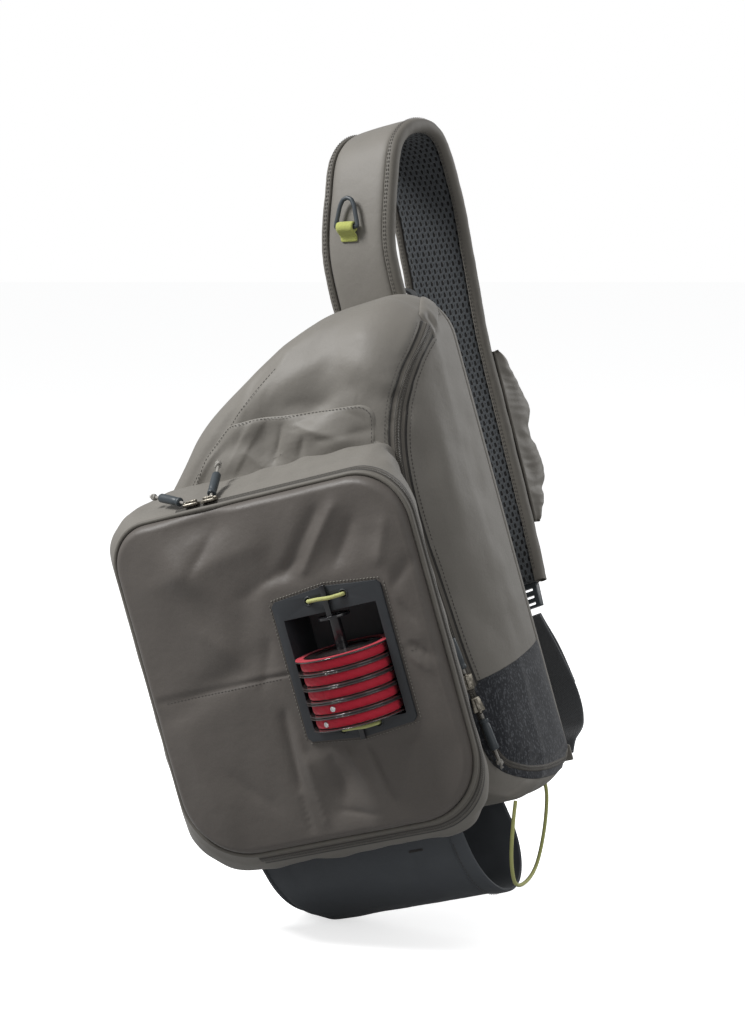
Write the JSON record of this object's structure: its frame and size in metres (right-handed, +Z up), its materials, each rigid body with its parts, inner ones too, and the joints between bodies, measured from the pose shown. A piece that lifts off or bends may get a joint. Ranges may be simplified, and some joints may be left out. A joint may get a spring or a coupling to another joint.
{
  "type": "fishing tackle sling bag",
  "caption": "soft one-strap sling pack with zipped side panel, deep front pocket holding a stack of line spools, felt patch, bottle sleeve underneath and padded shoulder loop",
  "frame": {"origin": "on the underside of the shoulder strap at its crown, where a shoulder carries the bag", "axes": "+X to the right as seen from the front, +Y towards the wearer's back, +Z up along the height of the pack"},
  "size_m": [0.2745, 0.3714, 0.5934],
  "materials": {
    "shell_cloth": "matt taupe laminated ripstop cloth",
    "face_cloth": "darker satin taupe coated cloth",
    "zip_tape": "sealed taupe zip tape with a fine coil",
    "felt": "charcoal felt with pale flecks",
    "tray_plastic": "dark slate moulded plastic",
    "slate_plastic": "dark slate plastic",
    "black_plastic": "black gloss plastic",
    "smoke_plastic": "smoke-tinted clear plastic",
    "red_band": "red elastic band",
    "lime_cord": "lime elastic shock cord",
    "lime_tape": "lime woven tape",
    "stretch_cloth": "slate stretch cloth",
    "spacer_mesh": "black open spacer mesh",
    "webbing": "charcoal woven webbing",
    "antique_brass": "aged brass",
    "pull_cord": "grey braided cord"
  },
  "bodies": {
    "bag": {"main_shell": "shell_cloth", "side_panel": "shell_cloth", "back_panel": "shell_cloth", "main_zip": "zip_tape", "garage_patch": "shell_cloth", "felt_patch": "felt", "upper_pocket": "shell_cloth", "pocket_face": "face_cloth", "pocket_gusset": "shell_cloth", "pocket_piping": "face_cloth", "pocket_zip": "zip_tape", "spool_tray": "tray_plastic", "spool_bar": "black_plastic", "tray_elastic_lower": "lime_cord", "tray_elastic_upper": "lime_cord", "bottle_sleeve": "stretch_cloth", "sleeve_end": "stretch_cloth", "retention_cord": "lime_cord", "strap_pad": "shell_cloth", "strap_mesh": "spacer_mesh", "strap_binding_left": "face_cloth", "strap_binding_right": "face_cloth", "strap_pocket": "shell_cloth", "strap_buckle": "tray_plastic", "webbing": "webbing", "buckle_tab": "shell_cloth", "anchor_tab": "webbing", "grab_loop": "webbing", "ring_tab": "lime_tape", "main_upper_slider": "antique_brass", "main_upper_cord": "pull_cord", "main_upper_tube": "slate_plastic", "main_lower_slider": "antique_brass", "main_lower_cord": "pull_cord", "main_lower_tube": "slate_plastic", "pocket_left_slider": "antique_brass", "pocket_left_cord": "pull_cord", "pocket_left_tube": "slate_plastic", "pocket_right_slider": "antique_brass", "pocket_right_cord": "pull_cord", "pocket_right_tube": "slate_plastic"},
    "turning_spool_1": {"spool_1": "smoke_plastic", "spool_band_1": "red_band"},
    "turning_spool_2": {"spool_2": "smoke_plastic", "spool_band_2": "red_band"},
    "turning_spool_3": {"spool_3": "smoke_plastic", "spool_band_3": "red_band"},
    "turning_spool_4": {"spool_4": "smoke_plastic", "spool_band_4": "red_band"},
    "turning_spool_5": {"spool_5": "smoke_plastic", "spool_band_5": "red_band"},
    "ring": {"accessory_ring": "slate_plastic"}
  },
  "joints": [
    {"name": "spool_1_turn", "type": "hinge", "parent": "bag", "child": "turning_spool_1", "pos_m": [-0.04591, -0.23003, -0.40394], "axis": [0, 0, 1], "continuous": true},
    {"name": "spool_2_turn", "type": "hinge", "parent": "bag", "child": "turning_spool_2", "pos_m": [-0.04591, -0.23003, -0.39304], "axis": [0, 0, 1], "continuous": true},
    {"name": "spool_3_turn", "type": "hinge", "parent": "bag", "child": "turning_spool_3", "pos_m": [-0.04591, -0.23003, -0.38214], "axis": [0, 0, 1], "continuous": true},
    {"name": "spool_4_turn", "type": "hinge", "parent": "bag", "child": "turning_spool_4", "pos_m": [-0.04591, -0.23003, -0.37124], "axis": [0, 0, 1], "continuous": true},
    {"name": "spool_5_turn", "type": "hinge", "parent": "bag", "child": "turning_spool_5", "pos_m": [-0.04591, -0.23003, -0.36034], "axis": [0, 0, 1], "continuous": true},
    {"name": "ring_swing", "type": "hinge", "parent": "bag", "child": "ring", "pos_m": [-0.02431, -0.06302, -0.05682], "axis": [0.9644, -0.2007, -0.1722], "range_deg": [0, 165]}
  ]
}
